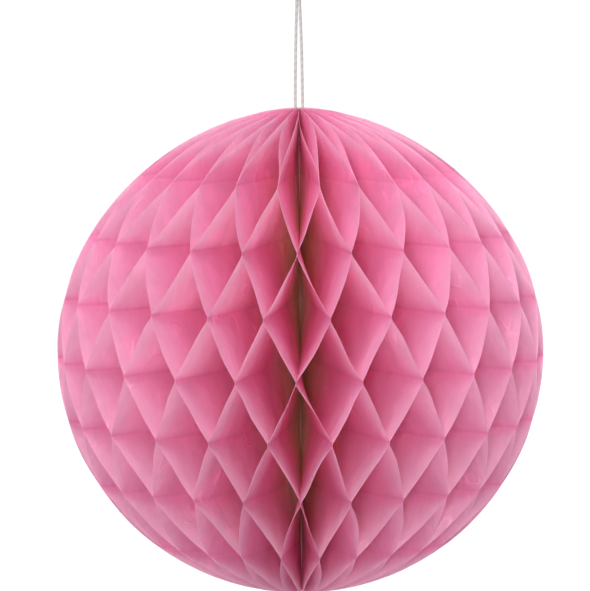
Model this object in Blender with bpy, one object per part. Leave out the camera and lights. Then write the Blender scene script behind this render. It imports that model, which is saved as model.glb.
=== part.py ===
"""Honeycomb paper ball that hangs on a doubled string.

A pad of tissue half-discs, glued to each other along level lines, is fanned right round its straight
edge, the spine. The glue lines pull the sheets into diamond cells that run from the rim to the
spine. Two card half-discs, the pad's covers, are stuck face to face and close the fan at the back.
The string's two ends are glued into the top of the spine, and a knot leaves a loop for the hook.

Metres, +Z up. The origin is where a hook bears inside the loop, the ball hangs below it, and the
card seam is at +Y.
"""

import math

import bmesh
import bpy
from mathutils import Matrix, Vector

# Tissue pad
BALL_RADIUS = 0.100
SHEET_COUNT = 48
SHEET_THICKNESS = 0.0004  # thicker than tissue, so that each sheet is a solid wall
GLUE_PITCH = 0.0254  # height from one glue level to the next
GLUE_STRIP = 0.0020  # height of one glue line
TOP_GLUE_DROP = 0.0015  # from the top of the ball to the first glue level
SHOULDER_SAG = 0.0023  # how far the hung pad falls inside a true sphere between pole and equator
SHOULDER_END = math.radians(78)  # angle from the top pole where the sag dies out
PAPER_BOW = 0.03  # how far a wall bends into an S between its glue lines, as a share of its lean

# Cover cards
CARD_THICKNESS = 0.0005
CARD_INSET = 0.0010  # from the tissue's rim in to the card's

# String and knot
STRING_DIAMETER = 0.00075
STRING_DEPTH = 0.0070  # how far each end goes down into the spine
STRING_RISE = 0.0680  # from the top of the ball to the hook
STRING_STEP = 0.0020  # longest distance between two points of the string's tube
KNOT_TOP = 0.0490  # above the top of the ball
KNOT_HEIGHT = 0.0036
KNOT_WALL = 0.00075

FIT_GAP = 0.0003  # between pieces that touch on the real ball
WALL_FACETS = 3  # least facets of a wall from one glue level to the next
FACET_ANGLE = math.radians(7.5)  # most arc of the rim under one facet

SHEET_ANGLE = math.tau / SHEET_COUNT
SPINE_RADIUS = SHEET_THICKNESS / math.sin(SHEET_ANGLE)  # where the sheets' faces part
SEAM_HALF = FIT_GAP / 2 + CARD_THICKNESS + FIT_GAP  # from the seam's middle to the first sheet
SEAM_FLOOR = (SEAM_HALF + SHEET_THICKNESS) / math.sin(SHEET_ANGLE)  # where the cards have room
SEAM_AZIMUTH = math.pi / 2
BALL_CENTRE = -(STRING_RISE + BALL_RADIUS)

STRAND_SPREAD = SPINE_RADIUS / 2  # from the ball's axis to each strand at the spine
STRAND_GATHERED = (STRING_DIAMETER + FIT_GAP) / 2  # the same in the knot
BORE_RADIUS = STRING_DIAMETER / 2 + FIT_GAP

# The right half of the string, as x and height above the top of the ball, from its end to the hook
STRING_ROUTE = [
    (STRAND_SPREAD, -STRING_DEPTH),
    (STRAND_SPREAD, -0.0035),
    (STRAND_SPREAD, 0.0000),
    (0.00120, 0.0120),
    (0.00086, 0.0250),
    (0.00066, 0.0340),
    (STRAND_GATHERED, 0.0410),
    (STRAND_GATHERED, KNOT_TOP - KNOT_HEIGHT),
    (STRAND_GATHERED, KNOT_TOP),
    (0.00130, 0.0526),
    (0.00290, 0.0570),
    (0.00410, 0.0612),
    (0.00420, 0.0645),
    (0.00290, 0.0673),
    (0.00000, STRING_RISE + STRING_DIAMETER / 2),
]


def clear_scene():
    for obj in list(bpy.data.objects):
        bpy.data.objects.remove(obj, do_unlink=True)


def paper_material(name, colour, roughness):
    material = bpy.data.materials.new(name)
    material.use_nodes = True
    shader = material.node_tree.nodes["Principled BSDF"]
    shader.inputs["Base Color"].default_value = (*colour, 1.0)
    shader.inputs["Roughness"].default_value = roughness
    shader.inputs["Metallic"].default_value = 0.0
    return material


def new_object(name, bm, material):
    """A named object from a bmesh, with its faces pointing out."""
    bmesh.ops.recalc_face_normals(bm, faces=bm.faces)
    mesh = bpy.data.meshes.new(name)
    bm.to_mesh(mesh)
    bm.free()
    mesh.materials.append(material)
    obj = bpy.data.objects.new(name, mesh)
    bpy.context.scene.collection.objects.link(obj)
    return obj


def rim(angle, inset=0.0):
    """(reach from the axis, height over the ball's centre) of the rim, at an angle from the top pole."""
    sag = SHOULDER_SAG * math.sin(math.pi * angle / SHOULDER_END) if angle < SHOULDER_END else 0.0
    radius = BALL_RADIUS - sag - inset
    return radius * math.sin(angle), radius * math.cos(angle)


def first_angle(is_past, low, high):
    """The rim angle between low and high where is_past turns true."""
    for _ in range(60):
        middle = (low + high) / 2
        low, high = (low, middle) if is_past(*rim(middle)) else (middle, high)
    return high


def angle_at_height(height):
    return first_angle(lambda _, z: z < height, 0.0, math.pi)


def upper_angle_at_reach(reach):
    return first_angle(lambda rho, _: rho > reach, 0.0, math.pi / 2)


def lower_angle_at_reach(reach):
    return first_angle(lambda rho, _: rho < reach, math.pi / 2, math.pi)


def glue_levels():
    """Heights of the glue levels over the ball's centre, from the top down."""
    lowest = rim(lower_angle_at_reach(SEAM_FLOOR))[1] + GLUE_STRIP
    levels = [BALL_RADIUS - TOP_GLUE_DROP]
    while levels[-1] - GLUE_PITCH > lowest:
        levels.append(levels[-1] - GLUE_PITCH)
    return levels


def lean_at(height, levels):
    """How far an even sheet leans across its place in the fan, 0 and 1 being its two glued sides."""
    for number, level in reversed(list(enumerate(levels))):
        drop = level - GLUE_STRIP / 2 - height
        if drop > 0:
            share = min(drop / (GLUE_PITCH - GLUE_STRIP), 1.0)
            bent = share - PAPER_BOW * math.sin(math.tau * share)
            return round(bent if number % 2 == 0 else 1.0 - bent, 6)
    return 0.0


class TissuePad:
    """The closed surface of the fanned pad. Line k is the plane through the axis before sheet k."""

    def __init__(self):
        self.bm = bmesh.new()
        self.made = {}
        self.seam_top = upper_angle_at_reach(SEAM_FLOOR)
        self.seam_bottom = lower_angle_at_reach(SEAM_FLOOR)
        self.angles = self.station_angles()
        self.stations = [rim(angle) for angle in self.angles]
        levels = glue_levels()
        self.leans = [lean_at(height, levels) for _, height in self.stations]
        self.last = len(self.stations) - 1

    def station_angles(self):
        """Angles down the rim: the poles, the seam's ends, the edges of the glue lines, and between."""
        levels = glue_levels()
        half = GLUE_STRIP / 2
        top = upper_angle_at_reach(SPINE_RADIUS)
        angles = [top, self.seam_top, angle_at_height(levels[0] - half)]
        for level in levels[1:]:
            start = angles[-1]
            end = angle_at_height(level + half)
            facets = max(WALL_FACETS, math.ceil((end - start) / FACET_ANGLE))
            angles += [start + (end - start) * step / facets for step in range(1, facets)]
            angles += [end, angle_at_height(level - half)]
        start = angles[-1]
        facets = math.ceil((self.seam_bottom - start) / FACET_ANGLE)
        angles += [
            start + (self.seam_bottom - start) * step / facets for step in range(1, facets)
        ]
        return [*angles, self.seam_bottom, lower_angle_at_reach(SPINE_RADIUS)]

    def vertex(self, key, azimuth, reach, aside, station):
        """The one vertex with this key, at a reach from the axis and aside from an azimuth's plane."""
        if key not in self.made:
            along = math.sqrt(reach * reach - aside * aside)
            turned = Matrix.Rotation(SEAM_AZIMUTH + azimuth, 3, "Z") @ Vector((along, aside, 0.0))
            turned.z = self.stations[station][1]
            self.made[key] = self.bm.verts.new(turned)
        return self.made[key]

    def cell_depth(self, line):
        """How near to the axis the cell at a line goes. The two beside the cards stop short."""
        return SEAM_FLOOR if line in (1, SHEET_COUNT - 1) else SPINE_RADIUS

    def inner(self, line, station):
        """The inner end of a cell, where its two walls meet."""
        reach = min(self.cell_depth(line), self.stations[station][0])
        return self.vertex(("inner", line, station), line * SHEET_ANGLE, reach, 0.0, station)

    def floor(self, side, station):
        """A corner of the floor under the cards, on the first sheet's side, 1, or the last's, -1."""
        return self.vertex(("floor", side, station), 0.0, SEAM_FLOOR, side * SEAM_HALF, station)

    def sheet_lean(self, sheet, station):
        lean = self.leans[station]
        return lean if sheet % 2 == 0 else 1.0 - lean

    def outer(self, sheet, face, station):
        """The rim corner of a sheet on its face toward its own line, 0, or toward the next, 1."""
        line = (sheet + face) % SHEET_COUNT
        reach = self.stations[station][0]
        lean = self.sheet_lean(sheet, station)
        if line == 0:
            if self.angles[station] in (self.seam_top, self.seam_bottom):
                return self.floor(-1 if face else 1, station)
            if station in (0, self.last):
                return self.inner(0, station)
        elif reach <= self.cell_depth(line) + 1e-9:
            return self.inner(line, station)
        elif lean == face:
            return self.vertex(("glue", line, station), line * SHEET_ANGLE, reach, 0.0, station)
        aside = SHEET_THICKNESS * (face - lean)
        if sheet == 0:
            aside += SEAM_HALF * (1.0 - lean)
        if sheet == SHEET_COUNT - 1:
            aside -= SEAM_HALF * lean
        azimuth = (sheet + lean) * SHEET_ANGLE
        return self.vertex(("outer", sheet, face, station), azimuth, reach, aside, station)

    def add_face(self, *corners):
        distinct = [corner for n, corner in enumerate(corners) if corner not in corners[:n]]
        if len(distinct) > 2:
            self.bm.faces.new(distinct)

    def add_wall(self, outer_a, outer_b, inner_a, inner_b, closes_below):
        """Two triangles. Both faces of a sheet are cut alike, so that its thickness holds."""
        if closes_below:
            self.add_face(outer_a, inner_a, inner_b)
            self.add_face(outer_a, inner_b, outer_b)
        else:
            self.add_face(outer_a, inner_a, outer_b)
            self.add_face(inner_a, inner_b, outer_b)

    def is_glued(self, line, station):
        return self.sheet_lean(line, station) == 0.0

    def add_band(self, a, b):
        """The rims and the walls of every sheet between two stations."""
        closes_below = self.leans[a] != self.leans[b] and self.leans[b] in (0.0, 1.0)
        for sheet in range(SHEET_COUNT):
            self.add_face(
                self.outer(sheet, 0, a),
                self.outer(sheet, 1, a),
                self.outer(sheet, 1, b),
                self.outer(sheet, 0, b),
            )
        for line in range(1, SHEET_COUNT):
            if self.is_glued(line, a) and self.is_glued(line, b):
                continue
            inner = self.inner(line, a), self.inner(line, b)
            for sheet, face in ((line - 1, 1), (line, 0)):
                outer = self.outer(sheet, face, a), self.outer(sheet, face, b)
                self.add_wall(*outer, *inner, closes_below)
        if self.seam_top <= self.angles[a] < self.seam_bottom:
            self.add_seam(a, b, closes_below)

    def add_seam(self, a, b, closes_below):
        """The slot for the cards: the outside faces of the first and last sheets, and the floor."""
        for sheet, face, side in ((0, 0, 1), (SHEET_COUNT - 1, 1, -1)):
            outer = self.outer(sheet, face, a), self.outer(sheet, face, b)
            self.add_wall(*outer, self.floor(side, a), self.floor(side, b), closes_below)
        self.add_face(self.floor(-1, a), self.floor(1, a), self.floor(1, b), self.floor(-1, b))

    def add_end(self, station, lip):
        """The flat end of the spine, and the triangle between it and the seam."""
        self.add_face(*(self.inner(line, station) for line in range(SHEET_COUNT)))
        self.add_face(self.inner(0, station), self.floor(1, lip), self.floor(-1, lip))

    def build(self):
        for station in range(self.last):
            self.add_band(station, station + 1)
        self.add_end(0, 1)
        self.add_end(self.last, self.last - 1)
        return self.bm


def smooth_through(points, step):
    """Points at most a step apart on the Catmull-Rom curve through a list of points."""
    padded = [points[0] * 2 - points[1], *points, points[-1] * 2 - points[-2]]
    line = [points[0]]
    for p0, p1, p2, p3 in zip(padded, padded[1:], padded[2:], padded[3:]):
        count = math.ceil((p2 - p1).length / step)
        for n in range(1, count + 1):
            t = n / count
            bend = (2 * p0 - 5 * p1 + 4 * p2 - p3) * t**2 + (3 * p1 - p0 - 3 * p2 + p3) * t**3
            line.append((2 * p1 + (p2 - p0) * t + bend) / 2)
    return line


def string_points():
    """The string's centreline, up the left strand, over the hook and down the right strand."""
    right = [Vector((x, 0.0, rise - STRING_RISE)) for x, rise in STRING_ROUTE]
    left = [Vector((-point.x, point.y, point.z)) for point in right]
    return smooth_through([*left, *reversed(right[:-1])], STRING_STEP)


def make_string(material):
    points = string_points()
    curve = bpy.data.curves.new("hanging_string", "CURVE")
    curve.dimensions = "3D"
    curve.bevel_depth = STRING_DIAMETER / 2
    curve.bevel_resolution = 2
    curve.use_fill_caps = True
    spline = curve.splines.new("POLY")
    spline.points.add(len(points) - 1)
    for target, point in zip(spline.points, points):
        target.co = (*point, 1.0)
    curve.materials.append(material)
    obj = bpy.data.objects.new("hanging_string", curve)
    bpy.context.scene.collection.objects.link(obj)
    return obj


def make_string_bores(material):
    """The cutter for the two blind holes in the top of the spine that hold the string's ends."""
    depth = STRING_DEPTH + FIT_GAP
    clear_above = STRING_DEPTH / 2
    bm = bmesh.new()
    for side in (-1, 1):
        middle = (side * STRAND_SPREAD, 0.0, (clear_above - depth) / 2 - STRING_RISE)
        bmesh.ops.create_cone(
            bm,
            cap_ends=True,
            segments=12,
            radius1=BORE_RADIUS,
            radius2=BORE_RADIUS,
            depth=depth + clear_above,
            matrix=Matrix.Translation(middle),
        )
    cutter = new_object("string_bores", bm, material)
    cutter.hide_render = True
    cutter.display_type = "WIRE"
    return cutter


def make_tissue(material):
    bm = TissuePad().build()
    bmesh.ops.translate(bm, verts=bm.verts, vec=(0.0, 0.0, BALL_CENTRE))
    pad = new_object("honeycomb_tissue", bm, material)
    cut = pad.modifiers.new("string_bores", "BOOLEAN")
    cut.operation = "DIFFERENCE"
    cut.solver = "EXACT"
    cut.object = make_string_bores(material)
    return pad


def make_card(name, side, material):
    """A half-disc of card on the left of the seam's middle, -1, or on its right, 1."""
    inner = SEAM_FLOOR + FIT_GAP
    top = upper_angle_at_reach(inner)
    sweep = lower_angle_at_reach(inner) - top
    facets = math.ceil(sweep / FACET_ANGLE)
    bm = bmesh.new()
    corners = []
    for step in range(facets + 1):
        reach, height = rim(top + sweep * step / facets, CARD_INSET)
        corners.append((side * FIT_GAP / 2, max(reach, inner), BALL_CENTRE + height))
    face = bm.faces.new([bm.verts.new(corner) for corner in corners])
    grown = bmesh.ops.extrude_face_region(bm, geom=[face])
    moved = [item for item in grown["geom"] if isinstance(item, bmesh.types.BMVert)]
    bmesh.ops.translate(bm, verts=moved, vec=(side * CARD_THICKNESS, 0.0, 0.0))
    return new_object(name, bm, material)


def make_knot(material):
    """The knot that gathers both strands: a round-shouldered bead with a slot that they run through."""
    half = KNOT_HEIGHT / 2
    profile = [(0.0, -0.75), (0.45, -1.0), (0.9, -0.55), (1.0, 0.0), (0.9, 0.55), (0.45, 1.0), (0.0, 0.75)]
    around = 16
    bm = bmesh.new()
    rings = []
    for step in range(around):
        turn = math.tau * (step + 0.5) / around
        across = math.copysign(STRAND_GATHERED, math.cos(turn))
        ring = []
        for out, up in profile:
            reach = BORE_RADIUS + out * KNOT_WALL
            height = KNOT_TOP - half + up * half - STRING_RISE
            place = (across + reach * math.cos(turn), reach * math.sin(turn), height)
            ring.append(bm.verts.new(place))
        rings.append(ring)
    for ring, following in zip(rings, rings[1:] + rings[:1]):
        for n, vertex in enumerate(ring):
            m = (n + 1) % len(ring)
            bm.faces.new((vertex, following[n], following[m], ring[m]))
    knot = new_object("string_knot", bm, material)
    knot.data.shade_smooth()
    return knot


def main():
    clear_scene()
    tissue = paper_material("pink_tissue", (0.807, 0.238, 0.402), 0.55)
    card = paper_material("pink_card", (0.745, 0.190, 0.345), 0.60)
    cotton = paper_material("white_cotton", (0.80, 0.80, 0.78), 0.80)

    make_tissue(tissue)
    make_card("cover_card_left", -1, card)
    make_card("cover_card_right", 1, card)
    make_string(cotton)
    make_knot(cotton)


main()
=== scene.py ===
"""Dresses a hanging honeycomb paper ball: its fanned tissue, its cover cards, its string and its knot.

Each sheet is first made flat, as it is die-cut, and a Geometry Nodes tree then fans 48 of them round
the spine and pulls them open along their glue lines.
"""

import math

import bmesh
import bpy
from bpy.props import FloatProperty, FloatVectorProperty, IntProperty, PointerProperty
from mathutils import Matrix, Vector


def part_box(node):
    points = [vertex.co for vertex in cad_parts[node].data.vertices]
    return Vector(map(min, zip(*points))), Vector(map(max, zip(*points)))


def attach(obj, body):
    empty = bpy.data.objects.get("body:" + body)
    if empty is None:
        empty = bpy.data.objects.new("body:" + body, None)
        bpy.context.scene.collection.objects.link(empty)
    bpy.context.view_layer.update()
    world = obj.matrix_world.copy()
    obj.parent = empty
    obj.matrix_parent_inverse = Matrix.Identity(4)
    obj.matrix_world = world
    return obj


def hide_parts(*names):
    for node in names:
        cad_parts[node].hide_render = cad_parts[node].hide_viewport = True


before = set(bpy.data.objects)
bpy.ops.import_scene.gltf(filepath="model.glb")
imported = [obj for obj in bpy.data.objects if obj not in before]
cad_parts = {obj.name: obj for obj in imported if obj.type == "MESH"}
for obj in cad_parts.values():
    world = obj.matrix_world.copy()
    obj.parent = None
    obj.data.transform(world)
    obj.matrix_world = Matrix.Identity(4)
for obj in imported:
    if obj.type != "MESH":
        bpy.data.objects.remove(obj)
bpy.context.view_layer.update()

bl_info = {
    "name": "Honeycomb paper ball",
    "version": (1, 0, 0),
    "blender": (4, 5, 0),
    "location": "3D View > Sidebar > Paper ball",
    "description": "Makes a hanging honeycomb ball of tissue paper, and the studio it is shown in",
    "category": "Object",
}

BODY = "root"
MM = 0.001
PHOTO_WIDTH = 590
PHOTO_HEIGHT = 591
TISSUE_LOW, TISSUE_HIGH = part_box("honeycomb_tissue")
CARD_LOW, CARD_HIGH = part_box("cover_card_right")
MATH = "ShaderNodeMath"
# The Mix node's sockets for colours, which share their names with those for numbers
MIX_A = 6
MIX_B = 7
MIX_RESULT = 2

# The real card's rim stops this far inside the tissue's.
CARD_INSET = 1.0 * MM
# Clear space between each end sheet and its card
CARD_GAP = 0.05 * MM
# The seed of the noises that make each joint stray and each sheet wave
NOISE_SEED = 4.0

# The right half of the string, as x and height above the top of the ball, from its end to the hook
STRING_ROUTE = [
    (0.00150, -0.0070),
    (0.00150, -0.0035),
    (0.00150, 0.0000),
    (0.00140, 0.0120),
    (0.00118, 0.0250),
    (0.00092, 0.0340),
    (0.00068, 0.0410),
    (0.00060, 0.0454),
    (0.00060, 0.0490),
    (0.00135, 0.0526),
    (0.00290, 0.0570),
    (0.00410, 0.0612),
    (0.00420, 0.0645),
    (0.00290, 0.0673),
    (0.00000, 0.068375),
]


def linear(hex_colour):
    """An sRGB hex colour as linear red, green, blue and alpha."""
    parts = [int(hex_colour[n : n + 2], 16) / 255 for n in (1, 3, 5)]
    return (*(p / 12.92 if p <= 0.04045 else ((p + 0.055) / 1.055) ** 2.4 for p in parts), 1.0)


def length(name, description, default):
    return FloatProperty(name=name, description=description, default=default, min=0.0, unit="LENGTH")


def colour(name, description, hex_colour):
    return FloatVectorProperty(
        name=name, description=description, default=linear(hex_colour), size=4, subtype="COLOR"
    )


class PaperBallSizes(bpy.types.PropertyGroup):
    ball_radius: length(
        "Ball radius", "Radius of the opened ball", round((TISSUE_HIGH.x - TISSUE_LOW.x) / 2, 4)
    )
    shoulder_sag: length("Shoulder sag", "How far the upper half falls inside a true sphere", 0.0023)
    shoulder_end: FloatProperty(
        name="Shoulder end",
        description="Angle from the top pole where the sag dies out",
        default=math.radians(78),
        subtype="ANGLE",
    )
    sheets: IntProperty(name="Sheets", description="Tissue sheets in the pad", default=48, min=8)
    glue_pitch: length("Glue pitch", "Height from one glue level to the next", 0.0254)
    glue_strip: length("Glue strip", "Height of one glue line", 0.0014)
    top_glue_drop: length("Top glue drop", "From the ball's top to the first glue level", 0.0015)
    paper_thickness: length("Paper thickness", "Thickness of one sheet, as shown", 0.00005)
    glued_gap: length("Glued gap", "Clear space between two glued sheets", 0.00004)
    spine_radius: length("Spine radius", "Radius of the glued bundle of the sheets' edges", 0.0022)
    paper_bow: FloatProperty(
        name="Paper bow",
        description="How far a wall bends into an S between its glue lines",
        default=-0.01,
    )
    joint_scatter: FloatProperty(
        name="Joint scatter",
        description="How far a joint strays sideways from its true place",
        default=math.radians(0.9),
        subtype="ANGLE",
    )
    wrinkle_depth: length("Wrinkle depth", "How far the free paper waves", 0.0017)
    wrinkle_size: length("Wrinkle size", "Length of the waves in the free paper", 0.022)
    string_diameter: length("String diameter", "Diameter of the string, with its fuzz", 0.0011)
    string_rise: length("String rise", "From the top of the ball to the hook", 0.068)
    knot_top: length("Knot top", "Top of the knot above the ball", 0.0490)
    knot_height: length("Knot height", "Height of the knot", 0.0036)


class PaperBallColours(bpy.types.PropertyGroup):
    tissue: colour("Tissue", "Dyed tissue as it sends light back", "#f8a1cb")
    tissue_through: colour(
        "Tissue, light through", "Tint of the light that goes on through a sheet", "#fef4fb"
    )
    # The next two colours are painted onto the tissue near the spine: painted light and shade that lifts
    # the deep cells and browns their shade.
    painted_spine_shade_tissue: colour("Glued tissue", "Tissue browned by the spine's glue", "#fee6d8")
    painted_spine_shade_through: colour("Glued tissue, light through", "Light through the browned tissue", "#fff8f2")
    # The spine's brown is painted shade, for the brown of the shade deep in the cells.
    spine_edges_painted_shade: colour("Glued edges", "The spine's bundle of glued edges", "#a86c5c")
    card: colour("Card", "Dyed card of the covers", "#e27fa3")
    cotton: colour("Cotton", "Bleached thread", "#ebebe8")
    floor: colour("Floor", "Studio floor, as it is lit", "#606060")


def add(tree, kind, *inputs, named=None, output=0, **settings):
    """Adds a node with its settings, and values or links for its inputs. Gives one of its outputs."""
    node = tree.nodes.new(kind)
    for name, value in settings.items():
        setattr(node, name, value)
    for key, value in [*enumerate(inputs), *(named or {}).items()]:
        if isinstance(value, bpy.types.NodeSocket):
            tree.links.new(value, node.inputs[key])
        elif value is not None:
            node.inputs[key].default_value = value
    return node.outputs[output] if node.outputs else node


def new_material(name):
    """An empty node material with its output node."""
    material = bpy.data.materials.new(name)
    material.use_nodes = True
    tree = material.node_tree
    tree.nodes.clear()
    return material, tree


def dyed_tissue_paper(sizes, colours):
    """Tissue of about 18 g/m2, dyed in the pulp and lightly calendered.

    It is thin enough that more light goes on through it than comes back. So the deep cells glow red
    with light that has gone from sheet to sheet. Its calendered side has a faint gloss, long fibres
    cloud it, and handling leaves soft creases and a few sharp folds.
    """
    material, tree = new_material("dyed_tissue_paper")
    flat = add(tree, "ShaderNodeUVMap", uv_map="flat_sheet")
    # Each sheet takes another slice of the noises, so that no two sheets have the same marks.
    sheet = add(tree, "ShaderNodeAttribute", output="Fac", attribute_name="sheet")
    slice_step = 0.13
    slice_at = add(tree, MATH, sheet, slice_step, operation="MULTIPLY")
    slice_at = add(tree, "ShaderNodeCombineXYZ", named={"Z": slice_at})
    own = add(tree, "ShaderNodeVectorMath", flat, slice_at, operation="ADD")
    # The flat_sheet map is in metres, so a scale of 1000 / s gives features about s mm across.
    clouds = add(
        tree, "ShaderNodeTexNoise", named={"Vector": own, "Scale": 1000 / 16, "Detail": 3.0}
    )
    grain_map = add(tree, "ShaderNodeMapping", own, named={"Scale": (1.0, 0.35, 1.0)})
    # Real fibres are under 0.05 mm across, so they are drawn as 1.5 mm streaks, which show.
    fibres = add(
        tree, "ShaderNodeTexNoise", named={"Vector": grain_map, "Scale": 1000 / 1.5, "Detail": 2.0}
    )
    creases = add(
        tree,
        "ShaderNodeTexNoise",
        named={"Vector": own, "Scale": 1000 / 15, "Detail": 1.5, "Roughness": 0.5, "Distortion": 0.2},
    )
    across, up, _ = add(tree, "ShaderNodeSeparateXYZ", flat).node.outputs
    # A sharp crease runs across the sheet at each glue level, drawn as painted shade just above it and a
    # painted highlight just below.
    level = add(tree, MATH, up, sizes.ball_radius - sizes.top_glue_drop, operation="SUBTRACT")
    half_pitch = sizes.glue_pitch / 2
    off_level = add(tree, MATH, level, half_pitch, -half_pitch, operation="WRAP")
    off_by = add(tree, MATH, off_level, operation="ABSOLUTE")
    crease = add(tree, "ShaderNodeMapRange", off_by, 0.3 * MM, 1.3 * MM, 1.0, 0.0)
    side = add(tree, "ShaderNodeMapRange", off_level, -0.7 * MM, 0.7 * MM, 0.035, -0.05)
    painted_crease_shade_and_light = add(tree, MATH, side, crease, 1.0, operation="MULTIPLY_ADD")

    shade = add(tree, "ShaderNodeMapRange", clouds, 0.3, 0.7, 0.965, 1.03)
    fibre_shade = add(tree, "ShaderNodeMapRange", fibres, 0.3, 0.7, 0.975, 1.025)
    shade = add(tree, MATH, shade, fibre_shade, operation="MULTIPLY")
    shade = add(tree, MATH, shade, painted_crease_shade_and_light, operation="MULTIPLY")
    # Handling leaves a few sharp folds where the slow noise passes through its middle value, each with a
    # painted highlight along it for the gloss that catches on the fold.
    off_fold = add(tree, MATH, creases, 0.5, operation="SUBTRACT")
    off_fold = add(tree, MATH, off_fold, operation="ABSOLUTE")
    fold = add(tree, "ShaderNodeMapRange", off_fold, 0.0, 0.025, 1.0, 0.0)
    handled = add(tree, "ShaderNodeMapRange", clouds, 0.54, 0.64, 0.0, 1.0)
    fold = add(tree, MATH, fold, handled, operation="MULTIPLY")
    # Lightens the colour along each fold: a painted highlight.
    painted_fold_highlight = add(tree, MATH, fold, 0.08, 1.0, operation="MULTIPLY_ADD")
    shade = add(tree, MATH, shade, painted_fold_highlight, operation="MULTIPLY")
    height = add(tree, MATH, fold, 0.16, creases, operation="MULTIPLY_ADD")
    # Near the spine, inside the ball, the tissue is tinted towards pale peach: painted light and shade that
    # lifts the deep cells and gives their shade its brown.
    near_spine = add(tree, "ShaderNodeMapRange", across, 12 * MM, 55 * MM, 1.0, 0.0)
    middle_distance = add(tree, "ShaderNodeVectorMath", flat, operation="LENGTH", output="Value")
    inside = add(tree, "ShaderNodeMapRange", middle_distance, 55 * MM, 85 * MM, 1.0, 0.0)
    painted_spine_tint_mask = add(tree, MATH, near_spine, inside, operation="MULTIPLY")
    shaded = []
    for tint, painted_spine_tint in (
        (colours.tissue, colours.painted_spine_shade_tissue),
        (colours.tissue_through, colours.painted_spine_shade_through),
    ):
        ends = {MIX_A: tuple(tint), MIX_B: tuple(painted_spine_tint)}
        tinted = add(
            tree,
            "ShaderNodeMix",
            painted_spine_tint_mask,
            named=ends,
            output=MIX_RESULT,
            data_type="RGBA",
            clamp_result=True,
        )
        shaded.append(add(tree, "ShaderNodeVectorMath", tinted, named={"Scale": shade}, operation="SCALE"))
    front, behind = shaded
    crease_bump = add(
        tree,
        "ShaderNodeBump",
        named={"Strength": 0.9, "Distance": 1.4 * MM, "Height": height},
    )
    bump = add(
        tree,
        "ShaderNodeBump",
        named={"Strength": 0.25, "Distance": 0.04 * MM, "Height": fibres, "Normal": crease_bump},
    )
    gloss = add(tree, "ShaderNodeMapRange", clouds, 0.3, 0.7, 0.56, 0.44)
    paper = add(
        tree,
        "ShaderNodeBsdfPrincipled",
        named={
            "Base Color": front,
            "Roughness": gloss,
            "IOR": 1.45,
            "Specular IOR Level": 0.22,
            "Normal": bump,
        },
    )
    through = add(tree, "ShaderNodeBsdfTranslucent", behind, named={"Normal": bump})
    share_through = 0.6
    both = add(tree, "ShaderNodeMixShader", share_through, paper, through)
    add(tree, "ShaderNodeOutputMaterial", both)
    return material


def glued_paper_edges(colours):
    """The sheets' straight edges, glued into one bundle and slightly shiny, in a brown that is painted
    shade: the brown of the shade deep in the cells.
    """
    material, tree = new_material("glued_paper_edges")
    flat = add(tree, "ShaderNodeUVMap", uv_map="flat_sheet")
    blots = add(tree, "ShaderNodeTexNoise", named={"Vector": flat, "Scale": 1000 / 4, "Detail": 3.0})
    shade = add(tree, "ShaderNodeMapRange", blots, 0.3, 0.7, 0.85, 1.05)
    dye = tuple(colours.spine_edges_painted_shade)[:3]
    base = add(tree, "ShaderNodeVectorMath", dye, named={"Scale": shade}, operation="SCALE")
    bump = add(tree, "ShaderNodeBump", named={"Strength": 0.5, "Distance": 0.1 * MM, "Height": blots})
    edges = add(
        tree,
        "ShaderNodeBsdfPrincipled",
        named={"Base Color": base, "Roughness": 0.5, "Specular IOR Level": 0.4, "Normal": bump},
    )
    add(tree, "ShaderNodeOutputMaterial", edges)
    return material


def dyed_card(colours):
    """Card of about 300 g/m2, dyed in the pulp and uncoated: matt, with a faint fibrous tooth."""
    material, tree = new_material("dyed_uncoated_card")
    place = add(tree, "ShaderNodeTexCoord", output="Object")
    fibres = add(tree, "ShaderNodeTexNoise", named={"Vector": place, "Scale": 1000 / 1.2, "Detail": 4.0})
    shade = add(tree, "ShaderNodeMapRange", fibres, 0.3, 0.7, 0.96, 1.03)
    dye = tuple(colours.card)[:3]
    base = add(tree, "ShaderNodeVectorMath", dye, named={"Scale": shade}, operation="SCALE")
    bump = add(tree, "ShaderNodeBump", named={"Strength": 0.3, "Distance": 0.05 * MM, "Height": fibres})
    card = add(
        tree,
        "ShaderNodeBsdfPrincipled",
        named={"Base Color": base, "Roughness": 0.75, "Specular IOR Level": 0.3, "Normal": bump},
    )
    add(tree, "ShaderNodeOutputMaterial", card)
    return material


def spun_cotton(colours):
    """Bleached cotton thread, spun from two plies: soft, matt and faintly ribbed by its twist."""
    material, tree = new_material("spun_cotton_thread")
    place = add(tree, "ShaderNodeTexCoord", output="Object")
    tilted = add(tree, "ShaderNodeMapping", place, named={"Rotation": (0.0, math.radians(35), 0.0)})
    # The plies of such a thread turn about once in 1.2 mm. They are drawn twice as long, so they show.
    ply_turn = 2.37 * MM
    # At a scale of 1, the Wave Texture's bands repeat in this length.
    wave_length = math.tau / 20
    plies = add(
        tree,
        "ShaderNodeTexWave",
        named={"Vector": tilted, "Scale": wave_length / ply_turn, "Distortion": 1.0, "Detail": 1.0},
        bands_direction="Z",
    )
    # The darker bands are painted shade in the grooves between the plies.
    shade = add(tree, "ShaderNodeMapRange", plies, 0.0, 1.0, 0.86, 1.0)
    bleached = tuple(colours.cotton)[:3]
    base = add(tree, "ShaderNodeVectorMath", bleached, named={"Scale": shade}, operation="SCALE")
    bump = add(tree, "ShaderNodeBump", named={"Strength": 0.6, "Distance": 0.05 * MM, "Height": plies})
    cotton = add(
        tree,
        "ShaderNodeBsdfPrincipled",
        named={"Base Color": base, "Roughness": 0.85, "Specular IOR Level": 0.25, "Normal": bump},
    )
    add(tree, "ShaderNodeOutputMaterial", cotton)
    return material


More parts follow.
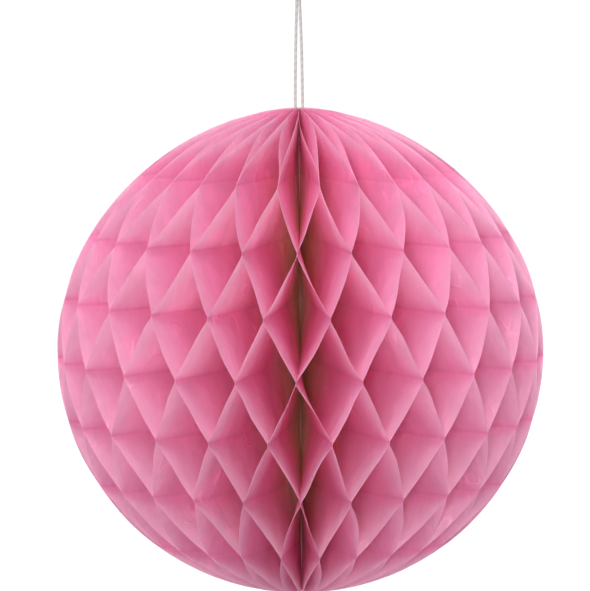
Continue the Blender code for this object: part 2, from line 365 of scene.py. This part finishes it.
def painted_studio_floor(colours):
    """Matt paint. The camera sees it as white, like the backdrop, and sees the ball's shadow on it."""
    material, tree = new_material("matt_studio_paint")
    path = tree.nodes.new("ShaderNodeLightPath")
    seen = add(
        tree, MATH, path.outputs["Is Camera Ray"], path.outputs["Is Glossy Ray"], operation="MAXIMUM"
    )
    seen = add(tree, MATH, seen, path.outputs["Is Transmission Ray"], operation="MAXIMUM")
    paint = add(
        tree,
        "ShaderNodeBsdfPrincipled",
        named={"Base Color": tuple(colours.floor), "Roughness": 0.9, "Specular IOR Level": 0.1},
    )
    # Together with the light that the paint sends back, this comes to about 1, which is white.
    extra = 0.94
    glow = add(tree, MATH, seen, extra, operation="MULTIPLY")
    glow = add(tree, "ShaderNodeEmission", named={"Strength": glow})
    # Its underside lets everything through, so that the ball can also be looked at from below.
    under = add(tree, "ShaderNodeNewGeometry", output="Backfacing")
    clear = add(tree, "ShaderNodeBsdfTransparent")
    floor = add(tree, "ShaderNodeAddShader", paint, glow)
    add(tree, "ShaderNodeOutputMaterial", add(tree, "ShaderNodeMixShader", under, floor, clear))
    return material


def rim(sizes, angle):
    """(reach from the axis, height over the ball's centre) of the rim, at an angle from the top pole."""
    share = min(angle / sizes.shoulder_end, 1.0)
    radius = sizes.ball_radius - sizes.shoulder_sag * math.sin(math.pi * share)
    return radius * math.sin(angle), radius * math.cos(angle)


def reach_at(sizes, height):
    """The rim's reach at a height."""
    low, high = 0.0, math.pi
    for _ in range(50):
        middle = (low + high) / 2
        low, high = (low, middle) if rim(sizes, middle)[1] < height else (middle, high)
    return rim(sizes, high)[0]


def sheet_rows(sizes):
    """(height, lean) of each row of a flat sheet, from the top down."""
    wall_rows = 7
    cap_angle = math.radians(3.5)
    half_strip = sizes.glue_strip / 2
    level = sizes.ball_radius - sizes.top_glue_drop
    first_edge = level - half_strip
    first_angle = math.acos(first_edge / sizes.ball_radius)
    steps = max(2, round(first_angle / cap_angle))
    pole = math.asin(sizes.spine_radius / sizes.ball_radius)
    rows = []
    for step in range(steps):
        angle = pole + (first_angle - pole) * step / steps
        rows.append((rim(sizes, angle)[1], 0.0))
    rows.append((first_edge, 0.0))
    wall = sizes.glue_pitch - sizes.glue_strip
    number = 0
    lowest = rim(sizes, math.pi - pole)[1]
    while level - sizes.glue_pitch - half_strip > lowest:
        for step in range(1, wall_rows + 1):
            share = step / wall_rows
            rows.append((level - half_strip - wall * share, row_lean(sizes, number, share)))
        level -= sizes.glue_pitch
        number += 1
        rows.append((level - half_strip, row_lean(sizes, number, 0.0)))
    last_angle = math.acos((level - half_strip) / sizes.ball_radius)
    steps = round((math.pi - pole - last_angle) / cap_angle)
    for step in range(1, steps + 1):
        height = rim(sizes, last_angle + (math.pi - pole - last_angle) * step / steps)[1]
        share = (level - half_strip - height) / wall
        rows.append((height, row_lean(sizes, number, share)))
    return rows


def row_lean(sizes, number, share):
    """How far an even sheet leans across its place, at a share of the way down from a glue level."""
    if number == 0:
        # Round the top pole the sheets stay close together in pairs and part only near the pole.
        bent = 1.0 - (1.0 - share) ** 2
    else:
        bent = share - sizes.paper_bow * math.sin(math.tau * share)
    return bent if number % 2 == 0 else 1.0 - bent


def flat_sheet(sizes, material):
    """One die-cut half-disc, flat in XZ with its straight edge at the spine, as a grid of faces."""
    columns = 10
    bm = bmesh.new()
    lean_layer = bm.verts.layers.float.new("lean")
    uv_layer = bm.loops.layers.uv.new("flat_sheet")
    grid = []
    for height, lean in sheet_rows(sizes):
        reach = max(reach_at(sizes, height), sizes.spine_radius + 0.2 * MM)
        row = []
        for column in range(columns + 1):
            out = sizes.spine_radius + (reach - sizes.spine_radius) * column / columns
            vertex = bm.verts.new((out, 0.0, height))
            vertex[lean_layer] = lean
            row.append(vertex)
        grid.append(row)
    for upper, lower in zip(grid, grid[1:]):
        for n in range(columns):
            face = bm.faces.new((upper[n], lower[n], lower[n + 1], upper[n + 1]))
            for loop in face.loops:
                loop[uv_layer].uv = (loop.vert.co.x, loop.vert.co.z)
    mesh = bpy.data.meshes.new("flat_sheet")
    bm.to_mesh(mesh)
    bm.free()
    mesh.materials.append(material)
    return mesh


def fan_tree():
    """The Geometry Nodes tree that repeats a flat sheet round the spine and opens it into cells."""
    tree = bpy.data.node_groups.new("fan_the_pad", "GeometryNodeTree")
    tree.interface.new_socket(name="Geometry", in_out="OUTPUT", socket_type="NodeSocketGeometry")
    for name, kind in (
        ("Flat sheet", "NodeSocketGeometry"),
        ("Sheets", "NodeSocketInt"),
        ("Centre spacing", "NodeSocketFloat"),
        ("Seam half", "NodeSocketFloat"),
        ("Joint scatter", "NodeSocketFloat"),
        ("Wrinkle depth", "NodeSocketFloat"),
        ("Wrinkle size", "NodeSocketFloat"),
        ("Ball radius", "NodeSocketFloat"),
        ("Ball centre", "NodeSocketFloat"),
        ("Seed", "NodeSocketFloat"),
        ("Paper", "NodeSocketMaterial"),
    ):
        tree.interface.new_socket(name=name, in_out="INPUT", socket_type=kind)
    given = tree.nodes.new("NodeGroupInput").outputs

    places = add(tree, "GeometryNodeMeshLine", named={"Count": given["Sheets"], "Offset": (0.0, 0.0, 0.0)})
    fanned = add(
        tree, "GeometryNodeInstanceOnPoints", named={"Points": places, "Instance": given["Flat sheet"]}
    )
    numbered = add(
        tree,
        "GeometryNodeStoreNamedAttribute",
        named={"Geometry": fanned, "Name": "sheet", "Value": add(tree, "GeometryNodeInputIndex")},
        data_type="FLOAT",
        domain="INSTANCE",
    )
    sheets = add(tree, "GeometryNodeRealizeInstances", numbered)

    sheet = add(tree, "GeometryNodeInputNamedAttribute", "sheet", data_type="FLOAT")
    even_lean = add(tree, "GeometryNodeInputNamedAttribute", "lean", data_type="FLOAT")
    spot = add(tree, "ShaderNodeSeparateXYZ", add(tree, "GeometryNodeInputPosition")).node.outputs
    reach, height = spot["X"], spot["Z"]

    # An odd sheet leans the other way, because its glue lines are staggered.
    odd = add(tree, MATH, sheet, 2.0, operation="FLOORED_MODULO")
    lean = add(tree, MATH, add(tree, MATH, odd, even_lean, operation="SUBTRACT"), operation="ABSOLUTE")
    unlean = add(tree, MATH, 1.0, lean, operation="SUBTRACT")

    # A joint strays by the same angle on both of the sheets that it joins. The seam's doesn't stray.
    # The noise differs from line to line, and it changes along the ball's height and its reach.
    per_line, per_height, per_reach = 3.7, 30.0, 14.0
    strays = []
    for step, weight in ((0.0, unlean), (1.0, lean)):
        line = add(
            tree,
            MATH,
            add(tree, MATH, sheet, step, operation="ADD"),
            given["Sheets"],
            operation="FLOORED_MODULO",
        )
        at = add(
            tree,
            "ShaderNodeCombineXYZ",
            add(tree, MATH, line, per_line, operation="MULTIPLY"),
            add(tree, MATH, height, per_height, operation="MULTIPLY"),
            add(tree, MATH, reach, per_reach, operation="MULTIPLY"),
        )
        noise = add(
            tree,
            "ShaderNodeTexNoise",
            named={"Vector": at, "W": given["Seed"], "Scale": 1.0, "Detail": 1.0},
            noise_dimensions="4D",
        )
        stray = add(tree, MATH, noise, 0.5, operation="SUBTRACT")
        stray = add(tree, MATH, stray, weight, operation="MULTIPLY")
        off_seam = add(tree, MATH, line, 1.0, operation="MINIMUM")
        strays.append(add(tree, MATH, stray, off_seam, operation="MULTIPLY"))
    stray = add(tree, MATH, *strays, operation="ADD")
    stray = add(tree, MATH, stray, given["Joint scatter"], operation="MULTIPLY")
    # The noise seldom goes further than a quarter from its middle value, so this brings it to about 1.
    noise_gain = 4.0
    stray = add(tree, MATH, stray, noise_gain, operation="MULTIPLY")

    # The paper waves most midway between its glue lines and towards its rim, each sheet in its own way.
    per_sheet = 5.3
    wave_at = add(
        tree,
        "ShaderNodeCombineXYZ",
        add(tree, MATH, reach, given["Wrinkle size"], operation="DIVIDE"),
        add(tree, MATH, sheet, per_sheet, operation="MULTIPLY"),
        add(tree, MATH, height, given["Wrinkle size"], operation="DIVIDE"),
    )
    wave = add(
        tree,
        "ShaderNodeTexNoise",
        named={"Vector": wave_at, "W": given["Seed"], "Scale": 1.0, "Detail": 1.5},
        noise_dimensions="4D",
    )
    wave = add(tree, MATH, wave, 0.5, operation="SUBTRACT")
    wave = add(tree, MATH, wave, 2.0, operation="MULTIPLY")
    free = add(tree, MATH, lean, unlean, operation="MULTIPLY")
    free = add(tree, MATH, free, 4.0, operation="MULTIPLY")
    outward = add(tree, MATH, reach, given["Ball radius"], operation="DIVIDE")
    free = add(tree, MATH, free, outward, operation="MULTIPLY")
    wave = add(tree, MATH, wave, free, operation="MULTIPLY")
    wave = add(tree, MATH, wave, given["Wrinkle depth"], operation="MULTIPLY")

    # A sheet lies beside the plane that it is glued at, and the end sheets make room for the cards.
    beside = add(tree, MATH, 0.5, lean, operation="SUBTRACT")
    beside = add(tree, MATH, beside, given["Centre spacing"], operation="MULTIPLY")
    # Near the spine the room narrows in proportion to the reach.
    narrowing = 0.085
    room = add(tree, MATH, reach, narrowing, operation="MULTIPLY")
    room = add(tree, MATH, room, given["Seam half"], operation="MINIMUM")
    first = add(tree, MATH, sheet, 0.0, 0.5, operation="COMPARE")
    last_number = add(tree, MATH, given["Sheets"], 1.0, operation="SUBTRACT")
    last = add(tree, MATH, sheet, last_number, 0.5, operation="COMPARE")
    push = add(
        tree,
        MATH,
        add(tree, MATH, first, unlean, operation="MULTIPLY"),
        add(tree, MATH, last, lean, operation="MULTIPLY"),
        operation="SUBTRACT",
    )
    beside = add(tree, MATH, beside, add(tree, MATH, push, room, operation="MULTIPLY"), operation="ADD")
    beside = add(tree, MATH, beside, wave, operation="ADD")

    sheet_angle = add(tree, MATH, math.tau, given["Sheets"], operation="DIVIDE")
    turn = add(tree, MATH, add(tree, MATH, sheet, lean, operation="ADD"), sheet_angle, operation="MULTIPLY")
    turn = add(tree, MATH, add(tree, MATH, turn, stray, operation="ADD"), math.pi / 2, operation="ADD")
    flat_place = add(
        tree,
        "ShaderNodeCombineXYZ",
        reach,
        beside,
        add(tree, MATH, height, given["Ball centre"], operation="ADD"),
    )
    place = add(
        tree, "ShaderNodeVectorRotate", named={"Vector": flat_place, "Angle": turn}, rotation_type="Z_AXIS"
    )
    opened = add(tree, "GeometryNodeSetPosition", named={"Geometry": sheets, "Position": place})
    smooth = add(tree, "GeometryNodeSetShadeSmooth", opened)
    whole = add(tree, "GeometryNodeRealizeInstances", smooth)
    finished = add(tree, "GeometryNodeSetMaterial", named={"Geometry": whole, "Material": given["Paper"]})
    add(tree, "NodeGroupOutput", finished)
    return tree


def set_inputs(modifier, values):
    """Sets a Geometry Nodes modifier's inputs, by the identifiers of their sockets."""
    for item in modifier.node_group.interface.items_tree:
        if item.in_out == "INPUT" and item.name in values:
            modifier[item.identifier] = values[item.name]


def link(obj):
    bpy.context.scene.collection.objects.link(obj)
    return obj


def as_plain_mesh(obj):
    """Replaces an object's mesh with what its modifiers make of it, and removes them."""
    depsgraph = bpy.context.evaluated_depsgraph_get()
    mesh = bpy.data.meshes.new_from_object(obj.evaluated_get(depsgraph), depsgraph=depsgraph)
    obj.modifiers.clear()
    obj.data = mesh
    return obj


def ball_centre(sizes):
    return -(sizes.string_rise + sizes.ball_radius)


def add_spine(mesh, sizes, material):
    """Adds the glued bundle of the sheets' straight edges, a slim round core from pole to pole."""
    mesh.materials.append(material)
    bm = bmesh.new()
    bm.from_mesh(mesh)
    uv_layer = bm.loops.layers.uv["flat_sheet"]
    old = set(bm.faces)
    bmesh.ops.create_cone(
        bm,
        cap_ends=True,
        segments=32,
        radius1=sizes.spine_radius + 0.05 * MM,
        radius2=sizes.spine_radius + 0.05 * MM,
        depth=2 * sizes.ball_radius - 1.0 * MM,
        matrix=Matrix.Translation((0.0, 0.0, ball_centre(sizes))),
    )
    for face in bm.faces:
        if face not in old:
            face.material_index = len(mesh.materials) - 1
            for loop in face.loops:
                loop[uv_layer].uv = (sizes.spine_radius, loop.vert.co.z - ball_centre(sizes))
    bm.to_mesh(mesh)
    bm.free()


class PAPERBALL_OT_tissue(bpy.types.Operator):
    """Fans the tissue pad round its spine"""

    bl_idname = "paperball.tissue"
    bl_label = "Fan the tissue"

    def execute(self, context):
        sizes = context.scene.paper_ball_sizes
        material = dyed_tissue_paper(sizes, context.scene.paper_ball_colours)
        pad = link(bpy.data.objects.new("fanned_tissue", flat_sheet(sizes, material)))
        fan = pad.modifiers.new("fan", "NODES")
        fan.node_group = fan_tree()
        set_inputs(
            fan,
            {
                "Sheets": sizes.sheets,
                "Centre spacing": sizes.paper_thickness + sizes.glued_gap,
                "Seam half": CARD_HIGH.x + CARD_GAP,
                "Joint scatter": sizes.joint_scatter,
                "Wrinkle depth": sizes.wrinkle_depth,
                "Wrinkle size": sizes.wrinkle_size,
                "Ball radius": sizes.ball_radius,
                "Ball centre": ball_centre(sizes),
                "Seed": NOISE_SEED,
                "Paper": material,
            },
        )
        wall = pad.modifiers.new("paper", "SOLIDIFY")
        wall.thickness = sizes.paper_thickness
        wall.offset = 0.0
        as_plain_mesh(pad)
        add_spine(pad.data, sizes, glued_paper_edges(context.scene.paper_ball_colours))
        pad.data.set_sharp_from_angle(angle=math.radians(40))
        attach(pad, BODY)
        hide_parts("honeycomb_tissue")
        return {"FINISHED"}


def glue_film(sizes, material):
    """The film of glue that holds the cards face to face, a little smaller than they are."""
    inset = 0.6 * MM
    steps = 72
    top = CARD_HIGH.z - inset
    bottom = CARD_LOW.z + inset
    inner = CARD_LOW.y + inset
    bm = bmesh.new()
    rows = []
    for n in range(steps + 1):
        share = (1 - math.cos(math.pi * n / steps)) / 2
        height = top + (bottom - top) * share
        outer = reach_at(sizes, height - ball_centre(sizes)) - CARD_INSET - inset
        outer = max(outer, inner + inset)
        rows.append([bm.verts.new((0.0, y, height)) for y in (inner, outer)])
    for upper, lower in zip(rows, rows[1:]):
        bm.faces.new((upper[0], lower[0], lower[1], upper[1]))
    mesh = bpy.data.meshes.new("card_glue")
    bm.to_mesh(mesh)
    bm.free()
    mesh.materials.append(material)
    film = link(bpy.data.objects.new("card_glue", mesh))
    wall = film.modifiers.new("thickness", "SOLIDIFY")
    wall.thickness = 2 * CARD_LOW.x
    wall.offset = 0.0
    return as_plain_mesh(film)


class PAPERBALL_OT_cards(bpy.types.Operator):
    """Finishes the two cover cards and glues them face to face"""

    bl_idname = "paperball.cards"
    bl_label = "Finish the cards"

    def execute(self, context):
        material = dyed_card(context.scene.paper_ball_colours)
        film = glue_film(context.scene.paper_ball_sizes, material)
        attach(film, BODY)
        for name in ("cover_card_left", "cover_card_right"):
            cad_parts[name].data.materials.clear()
            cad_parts[name].data.materials.append(material)
        return {"FINISHED"}


def smooth_through(points, step):
    """Points at most a step apart on the Catmull-Rom curve through a list of points."""
    padded = [points[0] * 2 - points[1], *points, points[-1] * 2 - points[-2]]
    line = [points[0]]
    for p0, p1, p2, p3 in zip(padded, padded[1:], padded[2:], padded[3:]):
        count = math.ceil((p2 - p1).length / step)
        for n in range(1, count + 1):
            t = n / count
            bend = (2 * p0 - 5 * p1 + 4 * p2 - p3) * t**2 + (3 * p1 - p0 - 3 * p2 + p3) * t**3
            line.append((2 * p1 + (p2 - p0) * t + bend) / 2)
    return line


def tube(name, points, radius, material):
    """A curve object through the points, with a round section and closed ends."""
    curve = bpy.data.curves.new(name, "CURVE")
    curve.dimensions = "3D"
    curve.bevel_depth = radius
    curve.bevel_resolution = 3
    curve.use_fill_caps = True
    spline = curve.splines.new("POLY")
    spline.points.add(len(points) - 1)
    for target, point in zip(spline.points, points):
        target.co = (*point, 1.0)
    curve.materials.append(material)
    return link(bpy.data.objects.new(name, curve))


def knot_points(sizes):
    """The turns of the overhand knot: two and a half turns round both strands, crossed by a third."""
    radius = 1.25 * sizes.string_diameter
    wide_radius = radius + 0.4 * sizes.string_diameter
    middle = sizes.knot_top - sizes.knot_height / 2 - sizes.string_rise
    half = sizes.knot_height / 2 - sizes.string_diameter / 2
    points = []
    turns = 2.5
    count = 60
    for n in range(count + 1):
        share = n / count
        turn = math.tau * turns * share
        swell = 1.0 + 0.18 * math.sin(math.pi * share)
        x = wide_radius * swell * math.cos(turn)
        y = radius * swell * math.sin(turn)
        points.append(Vector((x, y, middle + half * (2 * share - 1))))
    # Back down across the front, over the turns
    over = 1.05 * sizes.string_diameter
    for share in (0.25, 0.5, 0.75, 1.0):
        x = -wide_radius * math.cos(math.pi * share)
        y = -(radius + over) * math.sin(math.pi * min(share * 1.15, 1.0))
        points.append(Vector((x, y, middle + half * (1 - 2 * share))))
    return points


class PAPERBALL_OT_string(bpy.types.Operator):
    """Hangs the ball on its string, knotted below the hook"""

    bl_idname = "paperball.string"
    bl_label = "Hang the string"

    def execute(self, context):
        sizes = context.scene.paper_ball_sizes
        material = spun_cotton(context.scene.paper_ball_colours)
        right = [Vector((x, 0.0, rise - sizes.string_rise)) for x, rise in STRING_ROUTE]
        left = [Vector((-point.x, point.y, point.z)) for point in right]
        points = smooth_through([*left, *reversed(right[:-1])], 1.0 * MM)
        string = tube("cotton_string", points, sizes.string_diameter / 2, material)
        knot = tube("overhand_knot", knot_points(sizes), sizes.string_diameter / 2, material)
        for piece, node in ((string, "hanging_string"), (knot, "string_knot")):
            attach(piece, BODY)
            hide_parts(node)
        return {"FINISHED"}


def look_at(obj, target, roll=0.0):
    """Turns an object's -Z to a point, with +Y up, and then rolls it about that line."""
    direction = Vector(target) - obj.location
    turned = direction.to_track_quat("-Z", "Y").to_matrix() @ Matrix.Rotation(roll, 3, "Z")
    obj.rotation_euler = turned.to_euler()


def place_camera(scene, sizes):
    """A long lens a little above the ball, set so that the ball falls where it does in the photo."""
    distance = 4.0
    elevation = math.radians(5.9)
    azimuth = math.radians(0.6)
    roll = math.radians(-0.35)
    ball_pixels = 243.0
    ball_x, ball_y = 300.4, 349.6
    pixel = sizes.ball_radius / ball_pixels
    centre = Vector((0.0, 0.0, ball_centre(sizes)))
    back = Vector(
        (
            math.sin(azimuth) * math.cos(elevation),
            -math.cos(azimuth) * math.cos(elevation),
            math.sin(elevation),
        )
    )
    data = bpy.data.cameras.new("studio_camera")
    camera = link(bpy.data.objects.new("studio_camera", data))
    camera.location = centre + back * distance
    look_at(camera, centre, roll)
    aside = (PHOTO_WIDTH / 2 - ball_x) * pixel
    above = (ball_y - PHOTO_HEIGHT / 2) * pixel
    camera.location += camera.rotation_euler.to_matrix() @ Vector((aside, above, 0.0))
    data.sensor_width = 36.0
    data.sensor_fit = "HORIZONTAL"
    data.lens = data.sensor_width * distance / (PHOTO_WIDTH * pixel)
    data.clip_start = 0.1
    data.clip_end = 100.0
    scene.camera = camera


def soft_light(name, place, target, width, watts):
    data = bpy.data.lights.new(name, "AREA")
    data.shape = "DISK"
    data.size = width
    data.energy = watts
    lamp = link(bpy.data.objects.new(name, data))
    lamp.location = place
    look_at(lamp, target)


class PAPERBALL_OT_stage(bpy.types.Operator):
    """Sets up the camera, the lights, the floor and the backdrop"""

    bl_idname = "paperball.stage"
    bl_label = "Set the stage"

    def execute(self, context):
        scene = context.scene
        sizes = scene.paper_ball_sizes
        place_camera(scene, sizes)
        centre = (0.0, 0.0, ball_centre(sizes))
        # The front light reaches deep into the cells that face the camera, and the broad key light
        # evens out the panels.
        soft_light("key_light", (-0.12, -3.0, 0.7), centre, 2.2, 7.0)
        soft_light("front_light", (-0.22, -3.5, 0.12), centre, 0.6, 34.0)
        soft_light("top_light", (-0.4, -0.7, 1.7), centre, 1.4, 18.0)
        soft_light("back_light", (0.7, 2.8, 0.5), centre, 1.2, 32.0)

        floor_drop = 0.20
        floor_level = centre[2] - sizes.ball_radius - floor_drop
        bm = bmesh.new()
        bmesh.ops.create_grid(bm, x_segments=1, y_segments=1, size=15.0)
        bmesh.ops.translate(bm, verts=bm.verts, vec=(0.0, 0.0, floor_level))
        mesh = bpy.data.meshes.new("studio_floor")
        bm.to_mesh(mesh)
        bm.free()
        mesh.materials.append(painted_studio_floor(scene.paper_ball_colours))
        link(bpy.data.objects.new("studio_floor", mesh))

        world = bpy.data.worlds.new("studio_backdrop")
        scene.world = world
        world.use_nodes = True
        tree = world.node_tree
        tree.nodes.clear()
        path = tree.nodes.new("ShaderNodeLightPath")
        seen = add(
            tree, MATH, path.outputs["Is Camera Ray"], path.outputs["Is Glossy Ray"], operation="MAXIMUM"
        )
        seen = add(tree, MATH, seen, path.outputs["Is Transmission Ray"], operation="MAXIMUM")
        lit = add(tree, "ShaderNodeBackground", (1.0, 1.0, 1.0, 1.0), 0.44)
        white = add(tree, "ShaderNodeBackground", (1.0, 1.0, 1.0, 1.0), 1.0)
        add(tree, "ShaderNodeOutputWorld", add(tree, "ShaderNodeMixShader", seen, lit, white))

        scene.view_settings.view_transform = "Standard"
        # Light gets to the spine only by going through many sheets or bouncing between them.
        scene.cycles.diffuse_bounces = 16
        scene.cycles.transmission_bounces = 24
        scene.cycles.max_bounces = 32
        return {"FINISHED"}


class PAPERBALL_PT_panel(bpy.types.Panel):
    """Lists the steps that make the ball"""

    bl_idname = "PAPERBALL_PT_panel"
    bl_label = "Paper ball"
    bl_space_type = "VIEW_3D"
    bl_region_type = "UI"
    bl_category = "Paper ball"

    def draw(self, context):
        for group in (context.scene.paper_ball_sizes, context.scene.paper_ball_colours):
            for name in group.__annotations__:
                self.layout.prop(group, name)
        for operator in OPERATORS:
            self.layout.operator(operator.bl_idname)


OPERATORS = (PAPERBALL_OT_stage, PAPERBALL_OT_string, PAPERBALL_OT_tissue, PAPERBALL_OT_cards)
CLASSES = (PaperBallSizes, PaperBallColours, *OPERATORS, PAPERBALL_PT_panel)


def register():
    for cls in CLASSES:
        bpy.utils.register_class(cls)
    bpy.types.Scene.paper_ball_sizes = PointerProperty(type=PaperBallSizes)
    bpy.types.Scene.paper_ball_colours = PointerProperty(type=PaperBallColours)


def unregister():
    del bpy.types.Scene.paper_ball_colours
    del bpy.types.Scene.paper_ball_sizes
    for cls in reversed(CLASSES):
        bpy.utils.unregister_class(cls)


def main():
    register()
    bpy.ops.paperball.stage()
    bpy.ops.paperball.string()
    bpy.ops.paperball.tissue()
    bpy.ops.paperball.cards()


if __name__ == "__main__":
    main()
